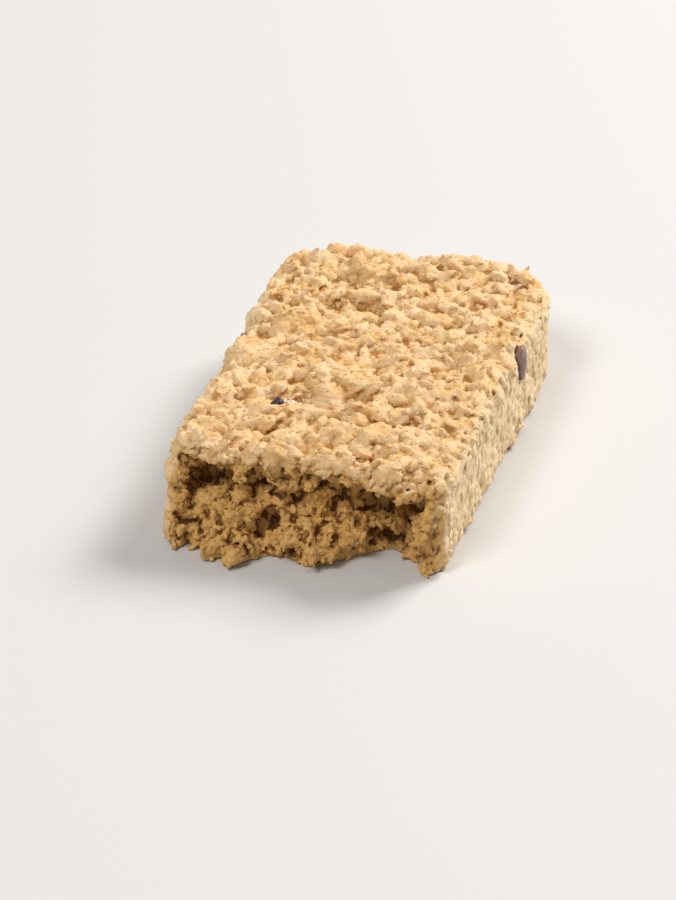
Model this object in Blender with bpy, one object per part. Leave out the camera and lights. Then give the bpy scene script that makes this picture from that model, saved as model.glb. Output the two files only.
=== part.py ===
"""A bitten oat bar lying flat, with pieces of dried fruit set in its faces.

The bar is one baked block, about two thirds of its whole length. Its far end is
rounded as it was baked, and its near end is bitten off: the crust hangs over a
hollow, a thin wall stands at each side, and the crumb swells low down.
X runs across the bar, Y along it with the bitten end at -Y, and Z up from the
flat base, whose middle is the origin.
"""

import math

import bmesh
import bpy
from mathutils import Matrix, Vector, noise

# Driving sizes of the block, in metres.
WIDTH = 0.0514
LENGTH = 0.0860  # along the base
HEIGHT = 0.0188
FACET = 0.0020  # spacing of the block's facets
CRUST_ROUND = 0.0018  # edge between the top and the sides
BASE_ROUND = 0.0009
NEAR_LEFT_CORNER = 0.0025  # corner radii in plan
NEAR_RIGHT_CORNER = 0.0036
FAR_LEFT_CORNER = 0.0125
FAR_RIGHT_CORNER = 0.0165
FAR_SPREAD = 0.03  # the far end is wider by this share
FAR_SLANT = 0.14  # the far end runs out towards +X by this slope
NEAR_SLANT = 0.07  # and so does the bitten end, a little
FORWARD = 0.0010  # puts the origin under the middle of the whole outline

# The crumb's roughness: how far its lumps stand out, and how long they are.
TOP_LUMP = 0.0019
SIDE_LUMP = 0.0005
BITE_LUMP = 0.0018
LUMP_LENGTH = 0.0052
RIDGE_HEIGHT = 0.0014
RIDGE_LENGTH = 0.0340  # along X
RIDGE_SPACING = 0.0085  # along Y

# The bite leans: its crust was bitten further back than its foot, and more so
# towards -X. Depths are measured back from that leaning plane.
CRUST_SET_BACK = 0.0044
SET_BACK_SLANT = 0.080
BITE_DEPTH = 0.0062
CRUST_THICKNESS = 0.0034
SIDE_WALL = 0.0031
LIP_WIDTH = 0.0022  # over which the crust and the walls fall into the hollow
LOW_BITE_SHARE = 0.30  # the share of the depth that is left at the base
# Hollows (positive) and swellings (negative) in the bite: X, Z, reach in X,
# reach in Z, depth.
BITE_FEATURES = (
    (0.0160, 0.0105, 0.0070, 0.0035, 0.0036),
    (0.0150, 0.0018, 0.0066, 0.0060, 0.0058),
    (-0.0192, 0.0125, 0.0028, 0.0034, 0.0028),
    (-0.0074, 0.0056, 0.0022, 0.0020, 0.0028),
    (-0.0030, 0.0074, 0.0026, 0.0016, 0.0022),
    (-0.0112, 0.0034, 0.0048, 0.0046, -0.0048),
    (0.0022, 0.0030, 0.0046, 0.0050, -0.0054),
    (0.0080, 0.0150, 0.0060, 0.0016, -0.0022),
)
CRUST_RAGGED = 0.0024
RAGGED_LENGTH = 0.0085

# Dried fruit. Each piece lies in a pocket that clears it by the gap.
GAP = 0.0004
FLUSH = 0.0001  # how far a cut fruit stands out of the face it is cut with
WRINKLE = 0.45
TOP_SINK = 0.0007  # how far the middle of a fruit lies under the crust
# Name, face, place along the face (X or Y), place up or along it (Z or Y),
# half sizes along, across and into the face, turn in degrees.
FRUITS = (
    ("fruit_top", "top", -0.0107, -0.0205, 0.0014, 0.0012, 0.0014, 20),
    ("fruit_corner", "top", 0.0182, 0.0362, 0.0028, 0.0015, 0.0010, -35),
    ("fruit_left_edge", "left", 0.0053, 0.0158, 0.0022, 0.0014, 0.0020, 15),
    ("fruit_right", "right", 0.0113, 0.0146, 0.0019, 0.0034, 0.0024, 10),
    ("fruit_left_near", "left", -0.0165, 0.0095, 0.0037, 0.0022, 0.0028, 30),
    ("fruit_left_far", "left", 0.0225, 0.0070, 0.0028, 0.0020, 0.0026, -20),
    ("fruit_far_low", "far", -0.0050, 0.0062, 0.0036, 0.0022, 0.0028, 12),
    ("fruit_far_high", "far", 0.0085, 0.0125, 0.0024, 0.0019, 0.0024, -35),
)
BERRY_PLACE = (-0.0106, 0.0024)  # X and Z on the bite
BERRY_SIZE = 0.0013


def clamp(value, low, high):
    return max(low, min(high, value))


def smooth(start, end, value):
    """0 at start, 1 at end, and an even slope between."""
    share = clamp((value - start) / (end - start), 0.0, 1.0)
    return share * share * (3.0 - 2.0 * share)


def corner_radius(x, y):
    if y < 0.0:
        return NEAR_LEFT_CORNER if x < 0.0 else NEAR_RIGHT_CORNER
    return FAR_LEFT_CORNER if x < 0.0 else FAR_RIGHT_CORNER


def rounded_in_plan(x, y, half_x, half_y):
    """Draws a rectangle's square corner in to a quarter circle."""
    radius = corner_radius(x, y)
    past_x = max(abs(x) - (half_x - radius), 0.0)
    past_y = max(abs(y) - (half_y - radius), 0.0)
    reach = math.hypot(past_x, past_y)
    if reach == 0.0:
        return x, y
    pull = 1.0 - max(past_x, past_y) / reach
    return x - math.copysign(past_x * pull, x), y - math.copysign(past_y * pull, y)


def uneven_in_plan(x, y):
    """Spreads the bar towards its far end and slants both its ends."""
    share = y / (LENGTH / 2.0)
    slant = FAR_SLANT if y > 0.0 else NEAR_SLANT
    return x * (1.0 + FAR_SPREAD * share / 2.0), y + slant * x * abs(share)


def set_back(x, y, z):
    """Leans the bitten end back, and eases the lean out along the bar."""
    lean = CRUST_SET_BACK - SET_BACK_SLANT * x
    return y + FORWARD + lean * z / HEIGHT * smooth(0.0, -LENGTH / 2.0, y)


def block_point(u, v, w):
    """The smooth block's point for a place from -1 to 1 along each axis."""
    z = HEIGHT * (w + 1.0) / 2.0
    edge = CRUST_ROUND if w > 0.0 else BASE_ROUND
    into_edge = max(edge - min(z, HEIGHT - z), 0.0)
    inset = edge - math.sqrt(edge * edge - into_edge * into_edge)
    half_x = WIDTH / 2.0 - inset
    half_y = LENGTH / 2.0 - inset
    x, y = rounded_in_plan(u * half_x, v * half_y, half_x, half_y)
    x, y = uneven_in_plan(x, y)
    return Vector((x, set_back(x, y, z), z))


def bite_depth(x, z):
    """How far the bitten face lies behind the end's plane."""
    wall = smooth(WIDTH / 2.0 - SIDE_WALL, WIDTH / 2.0 - SIDE_WALL - LIP_WIDTH, abs(x))
    under = smooth(HEIGHT - CRUST_THICKNESS, HEIGHT - CRUST_THICKNESS - LIP_WIDTH, z)
    share = LOW_BITE_SHARE + (1.0 - LOW_BITE_SHARE) * smooth(0.0, 0.7 * HEIGHT, z)
    depth = BITE_DEPTH * share
    for feature_x, feature_z, reach_x, reach_z, amount in BITE_FEATURES:
        away = math.hypot((x - feature_x) / reach_x, (z - feature_z) / reach_z)
        depth += amount * math.exp(-away * away)
    ragged = CRUST_RAGGED * noise.noise(Vector((x / RAGGED_LENGTH, z / RAGGED_LENGTH, 4.7)))
    return depth * wall * under + ragged


def crumb(place, facing, bitten):
    """How far the rough surface stands out of the smooth one."""
    nearest = noise.voronoi(place / LUMP_LENGTH)[0][0]
    top = max(facing.z, 0.0)
    height = BITE_LUMP if bitten else SIDE_LUMP + (TOP_LUMP - SIDE_LUMP) * top
    ridge_place = Vector((place.x / RIDGE_LENGTH, place.y / RIDGE_SPACING, 1.3))
    ridge = RIDGE_HEIGHT * top * noise.noise(ridge_place)
    return height * (0.45 - nearest) + ridge


def new_collection(name):
    collection = bpy.data.collections.new(name)
    bpy.context.scene.collection.children.link(collection)
    return collection


def new_material(name, colour, roughness):
    material = bpy.data.materials.new(name)
    material.use_nodes = True
    shader = material.node_tree.nodes["Principled BSDF"]
    shader.inputs["Base Color"].default_value = (*colour, 1.0)
    shader.inputs["Roughness"].default_value = roughness
    shader.inputs["Metallic"].default_value = 0.0
    material.diffuse_color = (*colour, 1.0)
    return material


def add_object(name, mesh_builder, collection, material):
    mesh = bpy.data.meshes.new(name)
    mesh_builder.to_mesh(mesh)
    mesh_builder.free()
    mesh.materials.append(material)
    placed = bpy.data.objects.new(name, mesh)
    collection.objects.link(placed)
    return placed


def gridded_cube():
    """A cube from -1 to 1, divided into cells of the facet's size."""
    built = bmesh.new()
    bmesh.ops.create_cube(built, size=2.0)
    for axis, size in enumerate((WIDTH, LENGTH, HEIGHT)):
        along = [e for e in built.edges if abs(e.verts[0].co[axis] - e.verts[1].co[axis]) > 1.0]
        cuts = round(size / FACET) - 1
        bmesh.ops.subdivide_edges(built, edges=along, cuts=cuts, use_grid_fill=True)
    return built


def build_bar(collection, material):
    """The oat block, bitten at its near end and rough all over but its base."""
    built = gridded_cube()
    bitten = {v for v in built.verts if v.co.y < -0.999 and v.co.z > -1.0}
    base = [f for f in built.faces if f.normal.z < -0.5]
    for vertex in built.verts:
        on_end = vertex.co.y < -0.999
        vertex.co = block_point(*vertex.co)
        if on_end:
            vertex.co.y += bite_depth(vertex.co.x, vertex.co.z)
    bmesh.ops.dissolve_faces(built, faces=base)
    built.normal_update()
    moves = {}
    for vertex in built.verts:
        share = smooth(0.0, 2.0 * FACET, vertex.co.z)
        moves[vertex] = vertex.normal * share * crumb(vertex.co, vertex.normal, vertex in bitten)
    for vertex, move in moves.items():
        vertex.co += move
    return add_object("bar", built, collection, material)


def fruit_builder(half_sizes, turn, grow):
    """A wrinkled ellipsoid with its short axis along Z, grown by a gap."""
    built = bmesh.new()
    bmesh.ops.create_icosphere(built, subdivisions=2, radius=1.0)
    for vertex in built.verts:
        dent = noise.noise(vertex.co * 1.1 + half_sizes * 1000.0)
        vertex.co *= 1.0 + WRINKLE * dent
    bmesh.ops.scale(built, vec=half_sizes + Vector((grow, grow, grow)), verts=built.verts)
    bmesh.ops.rotate(built, matrix=Matrix.Rotation(math.radians(turn), 3, "Z"), verts=built.verts)
    return built


def face_frame(face, along, up):
    """The matrix that stands a piece on a face of the block, with Z out of it."""
    if face == "top":
        return Matrix.Translation(Vector((along, up + FORWARD, HEIGHT - TOP_SINK)))
    if face == "far":
        spot = block_point(along / (WIDTH / 2.0), 1.0, 2.0 * up / HEIGHT - 1.0)
        return Matrix.Translation(spot) @ Matrix.Rotation(math.radians(-90), 4, "X")
    side = 1.0 if face == "right" else -1.0
    spot = block_point(side, along / (LENGTH / 2.0), 2.0 * up / HEIGHT - 1.0)
    return Matrix.Translation(spot) @ Matrix.Rotation(side * math.radians(90), 4, "Y")


def cut_flush(built):
    """Cuts a fruit with the face that it lies in, as a knife leaves it."""
    geometry = built.verts[:] + built.edges[:] + built.faces[:]
    level = Vector((0.0, 0.0, FLUSH))
    up = Vector((0.0, 0.0, 1.0))
    bmesh.ops.bisect_plane(built, geom=geometry, plane_co=level, plane_no=up, clear_outer=True)
    bmesh.ops.holes_fill(built, edges=built.edges, sides=0)


def add_pocket(bar, name, built, cutters, material):
    """Cuts the room that a piece lies in out of the bar."""
    cutter = add_object(name + "_pocket", built, cutters, material)
    cutter.hide_render = True
    cutter.display_type = "WIRE"
    cut = bar.modifiers.new(name + "_pocket", "BOOLEAN")
    cut.operation = "DIFFERENCE"
    cut.solver = "EXACT"
    cut.object = cutter


def build_fruit(bar, parts, cutters, material, fruit):
    """One dried fruit in its pocket, cut flush on a side or proud of the top."""
    name, face, along, up, half_along, half_up, half_deep, turn = fruit
    half_sizes = Vector((half_along, half_up, half_deep))
    if face in ("left", "right"):
        half_sizes = Vector((half_up, half_along, half_deep))
    frame = face_frame(face, along, up)
    pocket = fruit_builder(half_sizes, turn, GAP)
    bmesh.ops.transform(pocket, matrix=frame, verts=pocket.verts)
    add_pocket(bar, name, pocket, cutters, material)
    built = fruit_builder(half_sizes, turn, 0.0)
    if face != "top":
        cut_flush(built)
    bmesh.ops.transform(built, matrix=frame, verts=built.verts)
    add_object(name, built, parts, material)


def build_berry(bar, parts, cutters, material):
    """The small red piece of berry that shows in the bite."""
    x, z = BERRY_PLACE
    y = set_back(x, -LENGTH / 2.0, z) + bite_depth(x, z) + 0.9 * BERRY_SIZE
    half_sizes = Vector((BERRY_SIZE, BERRY_SIZE, 0.8 * BERRY_SIZE))
    place = Matrix.Translation(Vector((x, y, z)))
    pocket = fruit_builder(half_sizes, 0.0, GAP)
    bmesh.ops.transform(pocket, matrix=place, verts=pocket.verts)
    add_pocket(bar, "berry_bit", pocket, cutters, material)
    built = fruit_builder(half_sizes, 0.0, 0.0)
    bmesh.ops.transform(built, matrix=place, verts=built.verts)
    add_object("berry_bit", built, parts, material)


def main():
    for old in list(bpy.data.objects):
        bpy.data.objects.remove(old, do_unlink=True)
    parts = new_collection("oat_bar")
    cutters = new_collection("cutters")
    oat_crumb = new_material("oat_crumb", (0.52, 0.33, 0.14), 0.75)
    dried_fruit = new_material("dried_fruit", (0.030, 0.016, 0.030), 0.42)
    red_berry = new_material("red_berry", (0.38, 0.09, 0.08), 0.50)
    bar = build_bar(parts, oat_crumb)
    for fruit in FRUITS:
        build_fruit(bar, parts, cutters, dried_fruit, fruit)
    build_berry(bar, parts, cutters, red_berry)


main()
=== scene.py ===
# %% [markdown]
# # A bitten oat bar
#
# This lesson dresses a plain solid as a baked granola bar. The solid, called the
# frame here, gives the bar's true size, its bite and the places of its fruit.
# Everything made below is laid on it: oats pressed and baked together, paler cut
# sides, a crumbly bite, dried fruit, and loose flakes and crumbs.

# %% Load the frame
import math
import random

import bmesh
import bpy
import numpy as np
from mathutils import Matrix, Vector, noise
from mathutils.bvhtree import BVHTree
from mathutils.kdtree import KDTree


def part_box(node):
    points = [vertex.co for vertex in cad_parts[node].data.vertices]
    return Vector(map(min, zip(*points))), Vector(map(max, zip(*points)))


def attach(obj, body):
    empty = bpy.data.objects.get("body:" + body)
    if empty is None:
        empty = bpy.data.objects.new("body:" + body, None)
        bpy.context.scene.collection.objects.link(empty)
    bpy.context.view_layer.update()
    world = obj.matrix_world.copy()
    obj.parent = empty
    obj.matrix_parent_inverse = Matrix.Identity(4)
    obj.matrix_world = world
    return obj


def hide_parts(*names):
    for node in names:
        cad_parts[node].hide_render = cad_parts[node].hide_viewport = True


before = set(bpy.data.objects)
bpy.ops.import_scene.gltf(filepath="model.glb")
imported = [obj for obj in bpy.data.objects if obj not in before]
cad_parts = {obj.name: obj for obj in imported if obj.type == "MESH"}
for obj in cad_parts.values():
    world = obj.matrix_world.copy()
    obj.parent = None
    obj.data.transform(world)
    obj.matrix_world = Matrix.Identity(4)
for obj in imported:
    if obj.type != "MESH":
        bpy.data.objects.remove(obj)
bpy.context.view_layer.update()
bar_low, bar_high = (Vector(corner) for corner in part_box("bar"))
bar_size = bar_high - bar_low
bar_middle = (bar_low + bar_high) / 2.0
MM = 0.001
print("bar measures", [round(side / MM, 1) for side in bar_size], "mm")

# %% [markdown]
# ## Where the faces are
#
# This bar has six kinds of surface: the lumpy crust on top, the lip where the
# crust broke off, the bite, the torn fronts of the two walls beside it, the cut
# sides and the flat base. Each is dressed in its own way, so the script needs to
# know what it is standing on. Each place takes its kind from where it lies and
# which way it faces.

# %% Weld a copy of the solid
def welded_copy(node_name):
    """The node's mesh as a bmesh with its loose triangles joined."""
    welded = bmesh.new()
    welded.from_mesh(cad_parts[node_name].data)
    bmesh.ops.remove_doubles(welded, verts=welded.verts, dist=0.01 * MM)
    welded.normal_update()
    return welded


solid_bar = welded_copy("bar")
print("the solid has", len(solid_bar.faces), "faces")

# %% Name the kinds of surface
CRUST_THICKNESS = 3.0 * MM
WALL = 2.6 * MM  # the walls left standing beside the bite
BITE_REACH = 15.0 * MM  # the bite reaches this far behind its leaning plane
LIP_REACH = 3.0 * MM
BITE_FOOT = bar_low.y + 3.3 * MM  # the leaning plane's place at the base
BITE_SLANT = 0.07
LEAN, LEAN_SLANT = 4.4 * MM, 0.08
CRUST_TOP = bar_high.z - 1.2 * MM
CRUST_DROP = 2.0 * MM  # the crust's own lumps reach down this far
BASE_TOP = 0.8 * MM
# How far a face of each kind may turn, as a share of its normal.
BASE_FACING, ROOF_FACING, CRUST_FACING, WALL_FACING = -0.6, -0.2, 0.55, -0.3


def behind_bite(place):
    """How far a place lies behind the leaning plane of the bite."""
    lean = (LEAN - LEAN_SLANT * place.x) * place.z / CRUST_TOP
    return place.y - BITE_FOOT - BITE_SLANT * place.x - lean


def surface_kind(place, facing):
    """crust, lip, wall, side, bite or base, for a place on the bar and its normal."""
    if facing.z < BASE_FACING and place.z < BASE_TOP:
        return "base"
    behind = behind_bite(place)
    under_crust = place.z < CRUST_TOP - CRUST_THICKNESS
    between_walls = abs(place.x - bar_middle.x) < bar_size.x / 2.0 - WALL
    near_bite = between_walls and behind < BITE_REACH
    at_lip = behind < LIP_REACH
    if near_bite and (under_crust or (facing.z < ROOF_FACING and not at_lip)):
        return "bite"
    if facing.z > CRUST_FACING:
        return "crust"
    if near_bite and at_lip:
        return "lip"
    if between_walls and place.y < bar_high.y - WALL and place.z > CRUST_TOP - CRUST_DROP:
        return "crust"
    if facing.y < WALL_FACING and at_lip:
        return "wall"
    return "side"


face_kinds = [surface_kind(face.calc_center_median(), face.normal) for face in solid_bar.faces]
print({kind: face_kinds.count(kind) for kind in sorted(set(face_kinds))}, "faces of each kind")

# %% [markdown]
# ## One oat, many oats
#
# Rolled oats are flat ovals. Baked in syrup they swell into smooth, plump nuggets,
# and only those on a cut face keep their thin look. Each one here is an icosphere
# that is squashed, swollen unevenly and bent. A dozen different ones are enough:
# turned, stretched and crowded together they never look the same twice. Modelling
# every oat by hand would take days and would look no better.

# %% Model a few different oats
def oat_arrays(seed, flatness, uneven=0.38, roundness=2):
    """Vertex and triangle arrays of one oat, which reaches one unit along X."""
    chance = random.Random(seed)
    built = bmesh.new()
    bmesh.ops.create_icosphere(built, subdivisions=roundness, radius=1.0)
    drift = Vector((chance.uniform(0, 50), chance.uniform(0, 50), chance.uniform(0, 50)))
    bend = chance.uniform(-0.2, 0.2)
    width = chance.uniform(0.55, 0.85)
    for vertex in built.verts:
        swell = 1.0 + uneven * noise.noise(vertex.co * 1.4 + drift)
        x, y, z = vertex.co * swell
        vertex.co = Vector((x, y * width, z * flatness + bend * x * x))
    corners = np.array([vertex.co[:] for vertex in built.verts], np.float32)
    triangles = np.array([[v.index for v in face.verts] for face in built.faces], np.int32)
    built.free()
    return corners, triangles


plump_oats = [oat_arrays(seed, flatness=0.50, uneven=0.5) for seed in range(12)]
flat_oats = [oat_arrays(seed + 40, flatness=0.22) for seed in range(12)]
scaly_oats = [oat_arrays(seed + 20, flatness=0.34, uneven=0.5) for seed in range(12)]
torn_oats = [oat_arrays(seed + 60, flatness=0.45, uneven=0.9) for seed in range(12)]
crumb_bits = [oat_arrays(seed + 80, flatness=0.80, roundness=1) for seed in range(10)]
print("an oat has", len(plump_oats[0][1]), "faces, a crumb", len(crumb_bits[0][1]))

# %% [markdown]
# ## Scattering them over the bar
#
# Oats in a pressed bar lie side by side, so a purely random scatter looks wrong: it
# leaves bald spots and pile-ups. The usual cure is dart throwing. Random points
# are tried one after another, and a point too close to an earlier one is thrown
# away. Each kind of surface has its own spacing.

# %% Throw darts at the surface
TRIES = 6.0  # darts for each place that a piece could take
MORE_SMALL = 1.5  # above 1, small pieces are commoner than large ones


def near_taken(taken, cell, place, spacing):
    """Whether a kept point lies closer than the spacing."""
    for dx in (-1, 0, 1):
        for dy in (-1, 0, 1):
            for dz in (-1, 0, 1):
                for other in taken.get((cell[0] + dx, cell[1] + dy, cell[2] + dz), ()):
                    if (other - place).length < spacing:
                        return True
    return False


def thrown_points(spacing, seed, kinds):
    """Points on faces of these kinds, at least the spacing apart, with normals."""
    numbers = np.random.default_rng(seed)
    faces = [face for face, kind in zip(solid_bar.faces, face_kinds) if kind in kinds]
    areas = np.array([face.calc_area() for face in faces])
    tries = int(TRIES * areas.sum() / spacing**2)
    picked = numbers.choice(len(areas), size=tries, p=areas / areas.sum())
    shares = numbers.random((tries, 2))
    taken = {}
    kept = []
    for index, (along, across) in zip(picked, shares):
        first, second, third = faces[index].verts[:3]
        if along + across > 1.0:
            along, across = 1.0 - along, 1.0 - across
        rest = 1.0 - along - across
        place = first.co * rest + second.co * along + third.co * across
        cell = tuple(int(math.floor(value / spacing)) for value in place)
        if near_taken(taken, cell, place, spacing):
            continue
        taken.setdefault(cell, []).append(place)
        facing = first.normal * rest + second.normal * along + third.normal * across
        kept.append((place, facing.normalized()))
    return kept


# %% Lay an oat at a point
def laid_oat(place, facing, size, tilt, sink, chance):
    """The matrix of an oat that lies on the surface, turned by chance."""
    upright = facing.to_track_quat("Z", "Y").to_matrix().to_4x4()
    spin = Matrix.Rotation(chance.uniform(0.0, 2.0 * math.pi), 4, "Z")
    lean_x = Matrix.Rotation(chance.gauss(0.0, tilt), 4, "X")
    lean_y = Matrix.Rotation(chance.gauss(0.0, tilt), 4, "Y")
    stretch = Matrix.Diagonal((size * chance.uniform(0.85, 1.2), size, size, 1.0))
    return Matrix.Translation(place - facing * sink) @ upright @ spin @ lean_x @ lean_y @ stretch


def scattered(spacing, seed, kinds, sizes, tilt, sink, keep=1.0):
    """Matrices of oats thrown on the bar. The sink is a share of each oat's size."""
    chance = random.Random(seed)
    placings = []
    for place, facing in thrown_points(spacing, seed, kinds):
        size = sizes[0] + (sizes[1] - sizes[0]) * chance.random() ** MORE_SMALL
        if at_fruit(place, OAT_CLEAR * size):
            continue
        place = place + facing * surface_rise(place, surface_kind(place, facing))
        matrix = laid_oat(place, facing, size, tilt, sink * size, chance)
        if chance.random() < keep:
            placings.append(matrix)
    return placings


# %% Join many shapes into one mesh
def joined_mesh(name, shapes, placings):
    """One mesh of many shapes, each placed by its matrix."""
    all_corners = []
    all_triangles = []
    count = 0
    for number, matrix in enumerate(placings):
        corners, triangles = shapes[(number * 7 + number // 5) % len(shapes)]
        turn = np.array(matrix.to_3x3(), np.float32)
        shift = np.array(matrix.to_translation(), np.float32)
        all_corners.append(corners @ turn.T + shift)
        all_triangles.append(triangles + count)
        count += len(corners)
    mesh = bpy.data.meshes.new(name)
    mesh.from_pydata(np.concatenate(all_corners), [], np.concatenate(all_triangles))
    mesh.shade_smooth()
    return mesh


def add_piece(name, mesh):
    """An object at the origin that shows the mesh."""
    piece = bpy.data.objects.new(name, mesh)
    bpy.context.scene.collection.objects.link(piece)
    return piece


# %% [markdown]
# ## The baked body
#
# In the oven the oats melt into one mass: their lumps still show, but the joints
# between them are filled with syrup. Separate oats would look like loose cereal.
# So the plain solid and all the oats pressed into it go into one mesh, and a voxel
# remesh skins them together, the way the baking did. The solid is first smoothed,
# drawn in a little so that the oats stand out of it, and given the swells and
# furrows of the crust and the clumps and holes of the bite. The oats ride on the
# same swells, because otherwise they would bridge the furrows like a web.

# %% Draw the solid in and let it swell
# How far each kind of surface is drawn in, in millimetres.
DRAWN_IN = {"crust": 0.12, "lip": 0.35, "wall": 0.3, "side": 0.1, "bite": 0.3, "base": 0.0}
SWELL, SWELL_LENGTH, SWELL_WIDTH = 1.9 * MM, 9.0 * MM, 4.4 * MM
KNOLL, KNOLL_LENGTH, KNOLL_WIDTH = 1.6 * MM, 4.2 * MM, 2.8 * MM
CLUMPS = ((3.0 * MM, 5.0 * MM), (1.5 * MM, 2.3 * MM))  # height and length
CLUMP_DIP = 0.4  # the gaps between clumps lie this share of their height lower
GRAIN_TURN = math.radians(16.0)  # the furrows run this far off X
WANDER, WANDER_LENGTH = 1.2, 3.0  # a furrow wanders from its line, in millimetres
# Furrows in the crust, in millimetres: middle X and Y, half length, half width, depth.
FURROWS = (
    (0.6, -18.2, 7.0, 1.7, 2.2),
    (4.0, 13.6, 10.5, 1.8, 1.7),
    (-16.5, 2.8, 4.5, 1.6, 1.7),
    (9.5, -33.0, 5.5, 1.4, 1.4),
    (14.5, -4.0, 6.0, 1.6, 1.4),
    (-10.0, 26.0, 6.0, 1.6, 1.4),
    (13.0, 29.5, 5.0, 1.5, 1.3),
    (-13.0, -29.5, 5.0, 1.3, 1.2),
)
# Holes torn in the bite, in millimetres: X, Z, radius, depth.
TORN_HOLES = (
    (-19.0, 11.8, 2.6, 3.4),
    (-7.2, 5.4, 1.9, 3.2),
    (-3.0, 7.4, 1.7, 2.6),
    (-13.5, 10.0, 2.0, 1.6),
    (4.5, 9.2, 2.4, 1.8),
    (11.5, 8.6, 3.2, 2.4),
    (18.5, 7.0, 2.8, 2.6),
    (13.5, 1.2, 3.4, 2.4),
    (-1.5, 1.2, 1.6, 2.4),
)

# Oats keep off the fruit, except off the two that are nearly covered.
FRUIT_CLEAR, FRUIT_DIP = 0.8 * MM, -0.4 * MM
OAT_CLEAR = 0.7  # of the oat's own size
COVERED_FRUIT = ("fruit_corner", "berry_bit")
EDGE_FADE, EDGE_SHARE = 6.0 * MM, 0.35
bare_fruit = [
    tuple(Vector(corner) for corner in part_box(node_name))
    for node_name in sorted(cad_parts)
    if node_name not in ("bar", *COVERED_FRUIT)
]


def along_furrows(x, y):
    """Distances along and across the furrows."""
    turn = Matrix.Rotation(-GRAIN_TURN, 2)
    return turn @ Vector((x, y))


def crust_height(place):
    """The crust's swells, knolls and furrows at a place."""
    along, across = along_furrows(place.x, place.y)
    height = SWELL * noise.noise(Vector((along / SWELL_LENGTH, across / SWELL_WIDTH, 0.3)))
    height += KNOLL * noise.noise(Vector((along / KNOLL_LENGTH, across / KNOLL_WIDTH, 7.7)))
    for x, y, half_length, half_width, depth in FURROWS:
        off_along, off_across = along_furrows(place.x / MM - x, place.y / MM - y)
        wander = WANDER * noise.noise(Vector((off_along / WANDER_LENGTH, x, y)))
        away = math.hypot(off_along / half_length, (off_across - wander) / half_width)
        height -= depth * MM * math.exp(-(away**3))
    return height


def bite_height(place):
    """The bite's torn clumps and holes at a place."""
    height = 0.0
    for amount, length in CLUMPS:
        height += amount * (2.0 * abs(noise.noise(place / length)) - CLUMP_DIP)
    for x, z, radius, depth in TORN_HOLES:
        away = math.hypot(place.x / MM - x, place.z / MM - z) / radius
        height -= depth * MM * math.exp(-(away**4))
    return height


def at_fruit(place, clear):
    """Whether a place lies on a bare fruit, or closer to it than this."""
    for low, high in bare_fruit:
        half = (high - low) / 2.0 + Vector((clear,) * 3)
        away = place - (low + high) / 2.0
        if sum((away[axis] / half[axis]) ** 2 for axis in range(3)) < 1.0:
            return True
    return False


def towards_edge(place):
    """1 over most of the crust, less close to its outline."""
    inwards = min(bar_high.x - abs(place.x), bar_high.y - place.y)
    return min(1.0, max(EDGE_SHARE, inwards / EDGE_FADE))


def surface_rise(place, kind):
    """How far a surface of this kind swells out at a place."""
    if at_fruit(place, FRUIT_CLEAR):
        return FRUIT_DIP if kind == "crust" else 0.0
    if kind in ("crust", "lip"):
        return crust_height(place) * towards_edge(place)
    if kind == "bite":
        return bite_height(place)
    return 0.0


def pressed_core():
    """The solid, finely divided and smoothed, with its swells and clumps."""
    core = solid_bar.copy()
    for _ in range(2):
        bmesh.ops.subdivide_edges(core, edges=core.edges, cuts=1, use_grid_fill=True)
    bmesh.ops.triangulate(core, faces=core.faces)
    raised = [vertex for vertex in core.verts if vertex.co.z > 0.1 * MM]
    for _ in range(3):
        bmesh.ops.smooth_vert(
            core, verts=raised, factor=0.5, use_axis_x=True, use_axis_y=True, use_axis_z=True
        )
    core.normal_update()
    for vertex in core.verts:
        kind = surface_kind(vertex.co, vertex.normal)
        vertex.co += vertex.normal * (surface_rise(vertex.co, kind) - DRAWN_IN[kind] * MM)
        vertex.co.z = max(vertex.co.z, 0.0)
    mesh = bpy.data.meshes.new("core")
    core.to_mesh(mesh)
    core.free()
    return mesh


core_mesh = pressed_core()
print("the core has", len(core_mesh.polygons), "faces")

# %% Press the oats in
pressed = {
    "plump": scattered(2.9 * MM, 3, ("crust",), (1.4 * MM, 2.8 * MM), tilt=0.30, sink=0.22)
    + scattered(
        1.6 * MM, 4, ("crust", "lip"), (0.6 * MM, 1.2 * MM), tilt=0.5, sink=0.22, keep=0.6
    ),
    "scaly": scattered(
        2.4 * MM, 8, ("crust", "lip"), (1.1 * MM, 1.9 * MM), tilt=0.45, sink=0.05, keep=0.7
    ),
    "torn": scattered(
        1.1 * MM, 5, ("bite", "lip", "wall"), (0.35 * MM, 1.1 * MM), tilt=1.0, sink=0.45
    )
    + scattered(3.0 * MM, 7, ("bite",), (1.2 * MM, 2.2 * MM), tilt=0.9, sink=0.35),
    "flat": scattered(2.4 * MM, 6, ("side",), (1.2 * MM, 2.3 * MM), tilt=0.06, sink=0.13),
}
shapes_of = {"plump": plump_oats, "scaly": scaly_oats, "torn": torn_oats, "flat": flat_oats}
pressed_meshes = [
    joined_mesh("pressed " + sort, shapes_of[sort], pressed[sort]) for sort in pressed
]
print({sort: len(placings) for sort, placings in pressed.items()}, "oats pressed in")

# %% Skin them together
VOXEL = 0.24 * MM


def joined_object(name, meshes):
    """One object that holds several meshes."""
    together = bmesh.new()
    for mesh in meshes:
        together.from_mesh(mesh)
    mesh = bpy.data.meshes.new(name)
    together.to_mesh(mesh)
    together.free()
    return add_piece(name, mesh)


def applied(piece):
    """Replaces the piece's mesh by what its modifiers make of it."""
    graph = bpy.context.evaluated_depsgraph_get()
    result = bpy.data.meshes.new_from_object(piece.evaluated_get(graph))
    piece.modifiers.clear()
    piece.data = result
    return result


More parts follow.
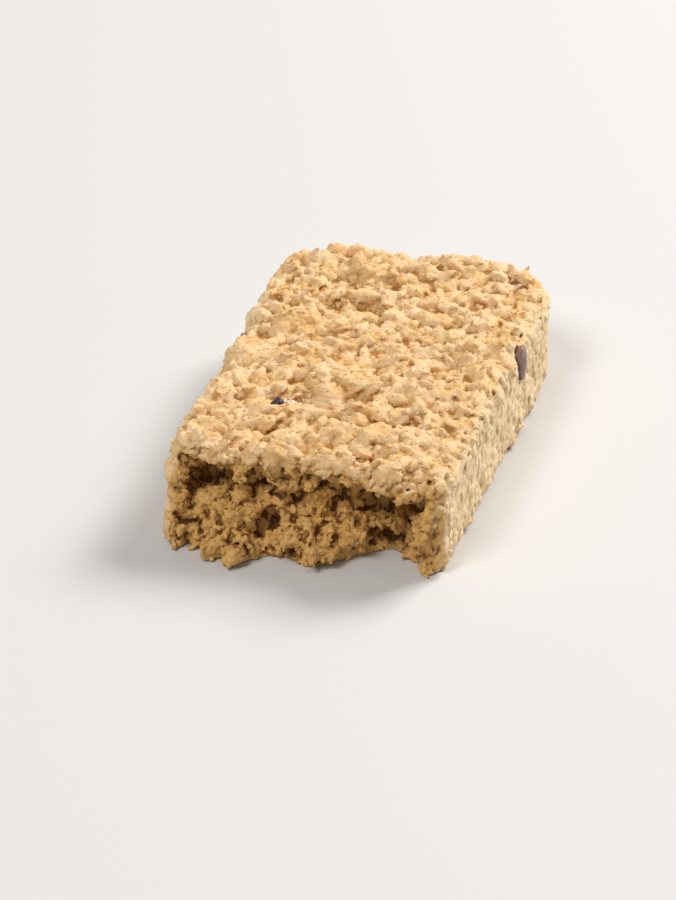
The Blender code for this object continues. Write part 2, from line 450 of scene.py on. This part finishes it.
body = joined_object("baked_body", [core_mesh] + pressed_meshes)
skin = body.modifiers.new("skin", "REMESH")
skin.mode = "VOXEL"
skin.voxel_size = VOXEL
applied(body)
print("the skinned body has", len(body.data.polygons), "faces")

# %% [markdown]
# ## Melting and grain
#
# Syrup rounds the crust's oats off and sinks into the joints between them, so the
# skin is relaxed a little: each vertex moves towards its neighbours' mean. The bite
# tore after the baking and is hardly relaxed at all. Then comes the grain. Grit,
# bran and small bubbles break up every face, the knife left upright drags and pits
# on the cut sides, and the torn crumb is knobbly like cauliflower, which a noise
# folded at zero gives. All of it moves the vertices, so it is true shape.

# %% Read a mesh as arrays
def mesh_arrays(mesh):
    """Vertex places and normals as arrays."""
    places = np.empty(len(mesh.vertices) * 3, np.float32)
    mesh.vertices.foreach_get("co", places)
    normals = np.empty(len(mesh.vertices) * 3, np.float32)
    mesh.vertex_normals.foreach_get("vector", normals)
    return places.reshape(-1, 3), normals.reshape(-1, 3)


def edge_array(mesh):
    edges = np.empty(len(mesh.edges) * 2, np.int32)
    mesh.edges.foreach_get("vertices", edges)
    return edges.reshape(-1, 2)


def neighbour_mean(values, edges, count):
    """The mean of each vertex's neighbours."""
    total = np.zeros_like(values, np.float64)
    for column in range(values.shape[1]):
        total[:, column] += np.bincount(edges[:, 0], values[edges[:, 1], column], count)
        total[:, column] += np.bincount(edges[:, 1], values[edges[:, 0], column], count)
    degree = np.bincount(edges.ravel(), minlength=count)
    return total / np.maximum(degree, 1)[:, None]


def kinds_of(mesh):
    """The kind of surface that each vertex lies on."""
    places, normals = mesh_arrays(mesh)
    return [surface_kind(Vector(p), Vector(n)) for p, n in zip(places, normals)]


# %% Melt and grain the skin
MELT = {"crust": 0.30, "lip": 0.22, "wall": 0.25, "side": 0.45, "bite": 0.15, "base": 0.5}
MELT_ROUNDS = 3


def melt(mesh, kinds):
    """Relaxes the skin, each kind of surface by its own share."""
    places, _ = mesh_arrays(mesh)
    edges = edge_array(mesh)
    share = np.array([MELT[kind] for kind in kinds])[:, None]
    for _ in range(MELT_ROUNDS):
        places = places + share * (neighbour_mean(places, edges, len(places)) - places)
    mesh.vertices.foreach_set("co", places.astype(np.float32).ravel())
    mesh.update()


def folded(place, length):
    """Noise folded at zero: round knobs with sharp creases, from -1 to about 1."""
    return 4.0 * abs(noise.noise(place / length)) - 1.0


def knobs(place, sorts):
    """The sum of several sorts of knobs, each with its height and length."""
    return sum(height * folded(place, length * MM) for height, length in sorts)


# Heights and lengths of the grain, in millimetres.
CRUST_KNOBS = ((0.055, 0.5), (0.07, 1.1))
LIP_ROUGHNESS = 1.6  # the lip's knobs are this much higher than the crust's
BITE_KNOBS = ((0.13, 1.25), (0.09, 0.6))
STREAK, STREAK_LENGTH = 0.13, 0.75
SIDE_KNOB, SIDE_KNOB_LENGTH = 0.07, 0.9
PIT, PIT_LENGTH, PIT_FLOOR = 1.5, 1.05, 0.20
PIT_DRIFT = Vector((7, 7, 7))  # keeps the pits off the streaks' own pattern
DRAWN_OUT = 0.32  # the knife drew the sides' grain upright to three times its length
BASE_PIT, BASE_PIT_LENGTH, BASE_PIT_FLOOR = 0.3, 1.6, 0.1


def grain_height(place, kind):
    """How far the grain stands out at a place."""
    if kind == "side":
        drawn_out = Vector((place.x, place.y, place.z * DRAWN_OUT))
        streak = noise.noise(drawn_out / (STREAK_LENGTH * MM))
        pit = max(0.0, noise.noise(drawn_out / (PIT_LENGTH * MM) + PIT_DRIFT) - PIT_FLOOR)
        knob = folded(place, SIDE_KNOB_LENGTH * MM)
        return (STREAK * streak + SIDE_KNOB * knob - PIT * pit) * MM
    if kind == "bite":
        return knobs(place, BITE_KNOBS) * MM
    if kind == "base":
        pit = max(0.0, noise.noise(place / (BASE_PIT_LENGTH * MM)) - BASE_PIT_FLOOR)
        return -BASE_PIT * pit * MM
    roughness = LIP_ROUGHNESS if kind == "lip" else 1.0
    return roughness * knobs(place, CRUST_KNOBS) * MM


def grain(mesh, kinds):
    places, normals = mesh_arrays(mesh)
    for index, (place, kind) in enumerate(zip(places.copy(), kinds)):
        places[index] += normals[index] * grain_height(Vector(place), kind)
    places[:, 2] = np.maximum(places[:, 2], 0.0)
    mesh.vertices.foreach_set("co", places.ravel())
    mesh.update()


body_kinds = kinds_of(body.data)
melt(body.data, body_kinds)
grain(body.data, body_kinds)
print({kind: body_kinds.count(kind) for kind in sorted(set(body_kinds))}, "vertices of each kind")

# %% [markdown]
# ## Marking crevices and faces
#
# Baking browns a bar unevenly, and the cut sides are paler than the crust. Shade
# is painted into the colour too: the crevices between the lumps are darkened to
# amber, so that the tops of the lumps read light gold. The material needs to know
# these things at every point, so they are worked out once and stored on the mesh:
# how deep a point lies below its smoothed surroundings, near and wide, which sets
# the painted shade, and which kind of face it belongs to. Painting by hand would do
# the same, but it couldn't follow a change of shape.

# %% Measure the crevices
NEAR_ROUNDS, NEAR_DEPTH = 30, 0.24 * MM
WIDE_ROUNDS, WIDE_DEPTH = 160, 0.70 * MM
TORN_EDGE = {"wall": 0.62, "lip": 0.50}  # torn edges are part as brown as the bite


def store(mesh, name, values):
    """Keeps one number for each vertex under a name that materials can read."""
    layer = mesh.attributes.new(name, "FLOAT", "POINT")
    layer.data.foreach_set("value", np.asarray(values, np.float32))


# The two depths set how much shade is painted into each vertex's colour.
def mark_crevices(mesh):
    """Stores how far each vertex lies under the smoothed surface, near and wide."""
    places, normals = mesh_arrays(mesh)
    edges = edge_array(mesh)
    smoothed = places.astype(np.float64)
    for number in range(1, WIDE_ROUNDS + 1):
        smoothed = 0.4 * smoothed + 0.6 * neighbour_mean(smoothed, edges, len(places))
        if number == NEAR_ROUNDS:
            depth = np.einsum("ij,ij->i", smoothed - places, normals)
            store(mesh, "crevice", np.clip(depth / NEAR_DEPTH, -1.0, 1.0))
    depth = np.einsum("ij,ij->i", smoothed - places, normals)
    store(mesh, "hollow", np.clip(depth / WIDE_DEPTH, -1.0, 1.0))


def face_shares(kind):
    """How much a vertex of this kind belongs to the sides, the bite and the base."""
    if kind in TORN_EDGE:
        return (0.0, TORN_EDGE[kind], 0.0)
    return (float(kind == "side"), float(kind == "bite"), float(kind == "base"))


def mark_faces(mesh, kinds):
    """Stores how much each vertex belongs to the sides, the bite and the base."""
    edges = edge_array(mesh)
    shares = np.array([face_shares(kind) for kind in kinds])
    for _ in range(8):
        shares = neighbour_mean(shares, edges, len(kinds))
    for column, name in enumerate(("side_share", "bite_share", "base_share")):
        store(mesh, name, shares[:, column])


def mark_toast(mesh, placings):
    """Gives each vertex the tone of the oat that it is nearest to."""
    chance = random.Random(31)
    nearest = KDTree(len(placings))
    for number, matrix in enumerate(placings):
        nearest.insert(matrix.to_translation(), number)
    nearest.balance()
    tones = [chance.random() for _ in placings]
    places, _ = mesh_arrays(mesh)
    toast = np.array([[tones[nearest.find(place)[1]]] for place in places])
    for _ in range(2):
        toast = neighbour_mean(toast, edge_array(mesh), len(places))
    store(mesh, "toast", toast[:, 0])


mark_crevices(body.data)
mark_faces(body.data, body_kinds)
mark_toast(body.data, [matrix for placings in pressed.values() for matrix in placings])
print("marks:", [layer.name for layer in body.data.attributes if layer.data_type == "FLOAT"])

# %% [markdown]
# ## Two pieces of skin
#
# The skin has far more faces than it needs on its flat stretches, so a Decimate
# modifier collapses what adds least. The torn end needs its faces most. Cut off
# as a piece of its own, it keeps a finer mesh than the long crust behind it. The
# two meet face to face behind the bite, and each gets a flat cap there. The rim of
# a cap is marked sharp, because smooth shading would draw a line along it.

# %% Cut the bitten end off and thin both
CUT_BEHIND = bar_low.y + 17.0 * MM
CUT_SLACK = 0.02 * MM
MOST_TRIANGLES = 192_000


def kept_side(mesh, name, towards):
    """The part of the mesh on one side of the cut, closed, as a new mesh."""
    built = bmesh.new()
    built.from_mesh(mesh)
    geometry = built.verts[:] + built.edges[:] + built.faces[:]
    cut = bmesh.ops.bisect_plane(
        built,
        geom=geometry,
        plane_co=(0.0, CUT_BEHIND, 0.0),
        plane_no=(0.0, towards, 0.0),
        clear_outer=True,
    )
    rim = [part for part in cut["geom_cut"] if isinstance(part, bmesh.types.BMEdge)]
    bmesh.ops.triangle_fill(built, use_beauty=True, edges=rim)
    bmesh.ops.recalc_face_normals(built, faces=built.faces)
    kept = bpy.data.meshes.new(name)
    built.to_mesh(kept)
    built.free()
    return kept


def sharpen_cut(mesh):
    """Marks the rim of the cut sharp, so that it doesn't show as a line."""
    built = bmesh.new()
    built.from_mesh(mesh)
    for face in built.faces:
        face.tag = all(abs(vertex.co.y - CUT_BEHIND) < CUT_SLACK for vertex in face.verts)
    for edge in built.edges:
        edge.smooth = len({face.tag for face in edge.link_faces}) < 2
    built.to_mesh(mesh)
    built.free()


def thinned(piece):
    """Collapses the piece's mesh to no more than MOST_TRIANGLES triangles."""
    triangles = sum(len(face.vertices) - 2 for face in piece.data.polygons)
    thin = piece.modifiers.new("thin", "DECIMATE")
    thin.ratio = min(1.0, MOST_TRIANGLES / triangles)
    applied(piece)
    piece.data.shade_smooth()
    sharpen_cut(piece.data)
    print(piece.name, "keeps", len(piece.data.polygons), "triangles of", triangles)


bitten_end = add_piece("bitten_end", kept_side(body.data, "bitten_end", 1.0))
body.data = kept_side(body.data, "baked_body", -1.0)
for piece in (body, bitten_end):
    thinned(piece)

# %% [markdown]
# ## Arithmetic for materials
#
# A material is a sum of masks and colours. Writing it node by node hides the idea,
# so a small class wraps a socket and lets Python's own signs add the Math nodes.
# Colours go through Mix nodes, because a Math node would turn them grey.

# %% A socket that can be calculated with
class Shade:
    """A value in a material's nodes, with arithmetic."""

    def __init__(self, tree, socket):
        self.tree = tree
        self.socket = socket

    def node(self, kind, settings, inputs, output=0):
        """Adds a node, sets it up, feeds its inputs and gives back an output."""
        added = self.tree.nodes.new(kind)
        stops = settings.pop("stops", None)
        for name, value in settings.items():
            setattr(added, name, value)
        if stops:
            set_stops(added.color_ramp, stops)
        for key, value in inputs.items():
            feed(self.tree, added.inputs[key], value)
        return Shade(self.tree, added.outputs[output])

    def math(self, operation, *values, clamp=False):
        settings = {"operation": operation, "use_clamp": clamp}
        return self.node("ShaderNodeMath", settings, dict(enumerate(values)))

    def __add__(self, other):
        return self.math("ADD", self, other)

    __radd__ = __add__

    def __mul__(self, other):
        return self.math("MULTIPLY", self, other)

    __rmul__ = __mul__

    def __sub__(self, other):
        return self.math("SUBTRACT", self, other)

    def __rsub__(self, other):
        return self.math("SUBTRACT", other, self)

    def ramp(self, start, end):
        """0 below start, 1 above end, smooth between."""
        settings = {"interpolation_type": "SMOOTHSTEP"}
        inputs = {0: self, 1: start, 2: end, 3: 0.0, 4: 1.0}
        return self.node("ShaderNodeMapRange", settings, inputs)

    def colour(self, low, high):
        """Mixes two colours by this value."""
        settings = {"data_type": "RGBA"}
        return self.node("ShaderNodeMix", settings, {0: self, 6: low, 7: high}, output=2)


def feed(tree, socket, value):
    """Links a Shade to a socket, or sets the socket's value."""
    if isinstance(value, Shade):
        tree.links.new(value.socket, socket)
    elif isinstance(value, tuple) and len(value) == 3 and socket.type == "RGBA":
        socket.default_value = (*value, 1.0)
    else:
        socket.default_value = value


def set_stops(color_ramp, stops):
    while len(color_ramp.elements) < len(stops):
        color_ramp.elements.new(0.5)
    for element, (position, colour) in zip(color_ramp.elements, stops):
        element.position = position
        element.color = (*colour, 1.0)


def new_material(name):
    """A material with its shader, and a Shade to build from."""
    material = bpy.data.materials.new(name)
    material.use_nodes = True
    tree = material.node_tree
    shader = tree.nodes["Principled BSDF"]
    return material, tree, shader, Shade(tree, None)


def object_noise(start, size, detail=3.0, roughness=0.55, shift=(0.0, 0.0, 0.0)):
    """Noise over the object's own coordinates, with lumps of the given size."""
    coordinates = start.node("ShaderNodeTexCoord", {}, {}, output=3)
    placed = start.node("ShaderNodeMapping", {}, {0: coordinates, 1: shift})
    inputs = {"Vector": placed, "Scale": 1.0 / size, "Detail": detail, "Roughness": roughness}
    return start.node("ShaderNodeTexNoise", {}, inputs)


def attribute(start, name):
    return start.node("ShaderNodeAttribute", {"attribute_name": name}, {}, output=2)


def relief(start, bumps, strength):
    """A normal that is tilted by fine bumps."""
    inputs = {"Strength": strength, "Distance": BUMP_HEIGHT, "Height": bumps}
    return start.node("ShaderNodeBump", {}, inputs)


# %% [markdown]
# ## Baked oat crumb
#
# The colour is built up in layers: a pale oat, toasted patches, the paler, drier
# look of the cut sides and the browner, damper look of the bite, and then painted
# shade, dark amber in the crevices and near black in the bite's hollows. A little
# light passes through oats, so the shader's subsurface is on, evenly over the whole bar.

# %% Mix the oat material
BUMP_HEIGHT = 0.10 * MM
OAT_LIGHT = (0.80, 0.58, 0.34)
OAT_TOASTED = (0.66, 0.38, 0.125)
# painted shade: the dark amber laid into the crust's crevices
CREVICE_PAINTED_SHADE = (0.38, 0.168, 0.024)
SIDE_PALE = (0.92, 0.71, 0.45)
SIDE_SHADE = (0.70, 0.49, 0.26)
BITE_LIGHT = (0.71, 0.43, 0.145)
BITE_TOASTED = (0.52, 0.265, 0.06)
# painted shade: the near black laid into the bite's holes and hollows
BITE_HOLLOW_PAINTED_SHADE = (0.16, 0.060, 0.008)
BASE_BROWN = (0.52, 0.30, 0.11)
BRAN = (0.50, 0.29, 0.12)


def oat_material(name):
    material, tree, shader, start = new_material(name)
    patches = object_noise(start, 6.0 * MM).ramp(0.38, 0.66)
    flecks = object_noise(start, 1.7 * MM, shift=(3.0, 1.0, 2.0)).ramp(0.42, 0.66)
    grain_tone = object_noise(start, 0.40 * MM, detail=4.0).ramp(0.35, 0.70)
    deep = attribute(start, "crevice").ramp(0.0, 0.9)
    wide = attribute(start, "hollow").ramp(0.05, 0.9)
    side = attribute(start, "side_share").ramp(0.25, 0.75)
    bite = attribute(start, "bite_share").ramp(0.25, 0.75)
    base = attribute(start, "base_share").ramp(0.3, 0.8)
    toast = attribute(start, "toast").ramp(0.15, 0.95)
    top_colour = (0.30 * patches + 0.25 * flecks + 0.40 * toast).colour(OAT_LIGHT, OAT_TOASTED)
    side_colour = (0.40 * flecks + 0.20 * patches + 0.25 * toast).colour(SIDE_PALE, SIDE_SHADE)
    bite_colour = (0.35 * flecks + 0.25 * patches + 0.35 * toast).colour(BITE_LIGHT, BITE_TOASTED)
    surface = bite.colour(side.colour(top_colour, side_colour), bite_colour)
    surface = base.colour(surface, BASE_BROWN)
    # Painted shade: crevices and hollows are darkened by their depth, amber on the crust and near
    # black in the bite.
    hollow = bite.colour(CREVICE_PAINTED_SHADE, BITE_HOLLOW_PAINTED_SHADE)
    shade = (0.60 * deep + 0.45 * wide) * (1.0 - 0.35 * side)
    shaded = shade.colour(surface, hollow)
    speckled = (0.20 * grain_tone).colour(shaded, BRAN)
    feed(tree, shader.inputs["Base Color"], speckled)
    feed(tree, shader.inputs["Roughness"], 0.50 + 0.15 * grain_tone + 0.15 * side)
    bumps = object_noise(start, 0.30 * MM, detail=5.0, roughness=0.6)
    feed(tree, shader.inputs["Normal"], relief(start, bumps, 0.30))
    shader.inputs["Subsurface Weight"].default_value = 0.15
    shader.inputs["Subsurface Radius"].default_value = (1.0, 0.55, 0.25)
    shader.inputs["Subsurface Scale"].default_value = 0.8 * MM
    shader.inputs["Specular IOR Level"].default_value = 0.22
    return material


oat_finish = oat_material("oat_crumb")
for piece in (body, bitten_end):
    piece.data.materials.append(oat_finish)
    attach(piece, "root")
    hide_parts("bar")

# %% [markdown]
# ## Dried fruit
#
# Dried berries shrink into dark, wrinkled pieces with a dusty bloom. Where the bar
# was cut, they were cut with it, and their browner flesh shows. Each fruit here
# starts from its plain solid, is divided finely, and is wrinkled along its normals.

# %% Wrinkle the fruit
# How far some of them have moved into or out of the crumb, in millimetres.
SUNK_IN = {
    "fruit_corner": (0.0, 0.0, -1.5),
    "fruit_left_edge": (0.7, 0.0, -0.3),
    "fruit_right": (0.2, 0.0, 0.2),
    "berry_bit": (0.1, -0.9, 0.3),
}


def wrinkled_fruit(node_name, wrinkle):
    fruit = welded_copy(node_name)
    bmesh.ops.subdivide_edges(fruit, edges=fruit.edges, cuts=5, smooth=0.4, use_grid_fill=True)
    bmesh.ops.triangulate(fruit, faces=fruit.faces)
    for _ in range(3):
        bmesh.ops.smooth_vert(
            fruit, verts=fruit.verts, factor=0.5, use_axis_x=True, use_axis_y=True, use_axis_z=True
        )
    fruit.normal_update()
    for vertex in fruit.verts:
        fold = abs(noise.noise(vertex.co / (1.1 * MM)))
        fine = noise.noise(vertex.co / (0.4 * MM))
        vertex.co += vertex.normal * wrinkle * (0.9 * fold + 0.2 * fine)
    sink = Vector(SUNK_IN.get(node_name, (0.0, 0.0, 0.0))) * MM
    bmesh.ops.translate(fruit, vec=sink, verts=fruit.verts)
    mesh = bpy.data.meshes.new(node_name + "_skin")
    fruit.to_mesh(mesh)
    fruit.free()
    mesh.shade_smooth()
    piece = add_piece(node_name + "_skin", mesh)
    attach(piece, "root")
    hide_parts(node_name)
    return piece


def fruit_material(name, dark, bloom):
    material, tree, shader, start = new_material(name)
    dust = object_noise(start, 1.2 * MM, detail=5.0).ramp(0.45, 0.75)
    feed(tree, shader.inputs["Base Color"], (0.5 * dust).colour(dark, bloom))
    feed(tree, shader.inputs["Roughness"], 0.32 + 0.3 * dust)
    bumps = object_noise(start, 0.35 * MM, detail=4.0)
    feed(tree, shader.inputs["Normal"], relief(start, bumps, 0.4))
    shader.inputs["Subsurface Weight"].default_value = 0.1
    shader.inputs["Subsurface Radius"].default_value = (1.0, 0.3, 0.5)
    shader.inputs["Subsurface Scale"].default_value = 0.5 * MM
    return material


dark_skin = fruit_material("dried_fruit", (0.040, 0.026, 0.036), (0.20, 0.16, 0.19))
cut_flesh = fruit_material("cut_fruit", (0.25, 0.15, 0.118), (0.48, 0.36, 0.31))
red_flesh = fruit_material("red_berry", (0.36, 0.095, 0.070), (0.56, 0.26, 0.18))
for node_name in sorted(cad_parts):
    if node_name == "bar":
        continue
    fruit_piece = wrinkled_fruit(node_name, 0.42 * MM)
    finish = {"berry_bit": red_flesh, "fruit_top": dark_skin}.get(node_name, cut_flesh)
    fruit_piece.data.materials.append(finish)
print("fruit pieces:", len(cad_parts) - 1)

# %% [markdown]
# ## Loose flakes and crumbs
#
# Some oats are only stuck on by an edge, and crumbs cling everywhere. They stay
# separate from the skinned body, so their edges are crisp and cast fine shadows.
# They have to rest on the finished skin, so their places are dropped onto it.

# %% Stick on flakes
def stuck_on(name, shapes, placings):
    """A piece of many small shapes that cling to the bar."""
    mesh = joined_mesh(name, shapes, placings)
    places, normals = mesh_arrays(mesh)
    places[:, 2] = np.maximum(places[:, 2], 0.02 * MM)
    mesh.vertices.foreach_set("co", places.ravel())
    kinds = kinds_of(mesh)
    for layer in ("crevice", "hollow"):
        store(mesh, layer, np.full(len(places), -0.3))
    mark_toast(mesh, placings)
    mark_faces(mesh, kinds)
    piece = add_piece(name, mesh)
    mesh.materials.append(oat_finish)
    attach(piece, "root")
    print(name, len(placings), "shapes,", len(mesh.polygons), "faces")
    return piece


def dropped(placings):
    """The same matrices, moved along their own Z onto the finished skin."""
    moved = []
    for matrix in placings:
        upright = matrix.to_3x3().col[2].normalized()
        start = matrix.to_translation() + upright * DROP_HEIGHT
        for tree in skin_trees:
            spot = tree.ray_cast(start, -upright, 2.0 * DROP_HEIGHT)[0]
            if spot is not None:
                moved.append(Matrix.Translation(spot - matrix.to_translation()) @ matrix)
                break
    return moved


DROP_HEIGHT = 4.0 * MM
graph = bpy.context.evaluated_depsgraph_get()
skin_trees = [BVHTree.FromObject(piece, graph) for piece in (body, bitten_end)]
LIP, BITE, SIDE = ("lip",), ("bite",), ("side",)
CRUST_AND_LIP = ("crust", "lip")
lip_flakes = scattered(1.5 * MM, 21, LIP, (0.6 * MM, 1.5 * MM), tilt=0.8, sink=0.0, keep=0.6)
bite_flakes = scattered(2.4 * MM, 23, BITE, (0.5 * MM, 1.2 * MM), tilt=0.9, sink=0.0)
side_flakes = scattered(4.6 * MM, 22, SIDE, (1.0 * MM, 2.0 * MM), tilt=0.05, sink=0.0)
crust_bits = scattered(
    1.0 * MM, 24, CRUST_AND_LIP, (0.15 * MM, 0.42 * MM), tilt=1.0, sink=0.0, keep=0.7
)
bite_bits = scattered(0.8 * MM, 25, BITE, (0.14 * MM, 0.42 * MM), tilt=1.0, sink=0.0)
stuck_on("torn_flakes", torn_oats, dropped(lip_flakes + bite_flakes))
stuck_on("side_flakes", flat_oats, dropped(side_flakes))
stuck_on("fine_crumbs", crumb_bits, dropped(crust_bits + bite_bits))

# %% [markdown]
# ## A pinch of sugar
#
# Beside the fruit in the crust lies a patch of coarse sugar that didn't melt. Its
# crystals are plain little blocks, so a cube is the right start. They are thrown
# within a small circle and dropped onto the crust.

# %% Sprinkle the sugar
SUGAR_PATCH = Vector((1.6, 2.9, 0.0)) * MM  # from the fruit to the patch's middle
SUGAR_RADIUS = 1.7 * MM
SUGAR_CRYSTALS = 70


def crystal_arrays():
    """Vertex and triangle arrays of one crystal with its corners taken off."""
    built = bmesh.new()
    bmesh.ops.create_cube(built, size=2.0)
    edges = built.edges[:]
    bmesh.ops.bevel(
        built, geom=edges, offset=0.25, affect="EDGES", segments=1, profile=0.5, material=-1
    )
    bmesh.ops.triangulate(built, faces=built.faces)
    corners = np.array([vertex.co[:] for vertex in built.verts], np.float32)
    triangles = np.array([[v.index for v in face.verts] for face in built.faces], np.int32)
    built.free()
    return corners, triangles


def sugar_placings():
    chance = random.Random(41)
    low, high = (Vector(corner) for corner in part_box("fruit_top"))
    middle = (low + high) / 2.0 + SUGAR_PATCH
    placings = []
    for _ in range(SUGAR_CRYSTALS):
        away = Vector((chance.gauss(0.0, 0.6), chance.gauss(0.0, 0.45), 0.0)) * SUGAR_RADIUS
        spot = Vector((middle.x + away.x, middle.y + away.y, bar_high.z))
        lean = Matrix.Rotation(chance.uniform(-0.5, 0.5), 4, "X")
        spin = Matrix.Rotation(chance.uniform(0.0, math.pi), 4, "Z")
        size = chance.uniform(0.07, 0.17) * MM
        scale = Matrix.Diagonal((size, size, size * chance.uniform(0.7, 1.4), 1.0))
        placings.append(Matrix.Translation(spot) @ lean @ spin @ scale)
    return placings


sugar_finish, _, sugar_shader, _ = new_material("sugar")
sugar_shader.inputs["Base Color"].default_value = (0.86, 0.85, 0.83, 1.0)
sugar_shader.inputs["Roughness"].default_value = 0.18
sugar_shader.inputs["Subsurface Weight"].default_value = 0.4
sugar_shader.inputs["Subsurface Radius"].default_value = (1.0, 0.9, 0.8)
sugar_shader.inputs["Subsurface Scale"].default_value = 0.3 * MM
sugar_mesh = joined_mesh("sugar_crystals", [crystal_arrays()], dropped(sugar_placings()))
sugar_mesh.shade_flat()
sugar_mesh.materials.append(sugar_finish)
sugar = add_piece("sugar_crystals", sugar_mesh)
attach(sugar, "root")
print("sugar:", len(sugar_mesh.polygons), "faces")

# %% [markdown]
# ## Camera, floor and light
#
# The bar is seen from its bitten end and a little to its right, from well above,
# through a long lens that keeps its edges nearly parallel. The light is a large
# soft window behind, above and to the right, and a weaker one fills in from the
# front. The pale floor throws some of it back up.

# %% Place the camera
VIEW_AZIMUTH = math.radians(16.1)
VIEW_ELEVATION = math.radians(30.0)
LENS_MM = 200.0
CAMERA_DISTANCE = 0.909
AIM = Vector((0.0, 1.0, 9.6)) * MM
SHIFT = (-0.0322, -0.0550)

towards_camera = Vector(
    (
        math.sin(VIEW_AZIMUTH) * math.cos(VIEW_ELEVATION),
        -math.cos(VIEW_AZIMUTH) * math.cos(VIEW_ELEVATION),
        math.sin(VIEW_ELEVATION),
    )
)
camera_data = bpy.data.cameras.new("camera")
camera_data.lens = LENS_MM
camera_data.sensor_width = 36.0
camera_data.sensor_fit = "AUTO"
camera_data.clip_start = 0.05
camera_data.clip_end = 20.0
camera_data.shift_x, camera_data.shift_y = SHIFT
camera = bpy.data.objects.new("camera", camera_data)
camera.location = AIM + towards_camera * CAMERA_DISTANCE
camera.rotation_euler = towards_camera.to_track_quat("Z", "Y").to_euler()
bpy.context.scene.collection.objects.link(camera)
bpy.context.scene.camera = camera

# %% Lay the floor
FLOOR_GAP = 0.1 * MM  # so that the base and the floor don't flicker together
floor_builder = bmesh.new()
bmesh.ops.create_grid(floor_builder, x_segments=1, y_segments=1, size=3.0)
floor_mesh = bpy.data.meshes.new("floor")
floor_builder.to_mesh(floor_mesh)
floor_builder.free()
floor = add_piece("floor", floor_mesh)
floor.location = (0.0, 0.0, -FLOOR_GAP)
floor_finish, _, floor_shader, _ = new_material("pale_floor")
floor_shader.inputs["Base Color"].default_value = (0.63, 0.62, 0.61, 1.0)
floor_shader.inputs["Roughness"].default_value = 0.6
floor_mesh.materials.append(floor_finish)

# %% Hang the lights
def soft_light(name, place, size, power, colour):
    light = bpy.data.lights.new(name, "AREA")
    light.shape = "SQUARE"
    light.size = size
    light.energy = power
    light.color = colour
    hung = bpy.data.objects.new(name, light)
    hung.location = place
    hung.rotation_euler = Vector(place).to_track_quat("Z", "Y").to_euler()
    bpy.context.scene.collection.objects.link(hung)


soft_light("window", (0.50, 0.76, 0.80), 0.5, 16.1, (1.0, 0.98, 0.95))
soft_light("fill", (-0.30, -0.60, 0.95), 0.45, 7.2, (1.0, 0.99, 0.97))
world = bpy.data.worlds.new("studio")
world.use_nodes = True
background = world.node_tree.nodes["Background"]
background.inputs["Color"].default_value = (1.0, 1.0, 1.0, 1.0)
background.inputs["Strength"].default_value = 0.29
bpy.context.scene.world = world
bpy.context.scene.view_settings.view_transform = "Standard"
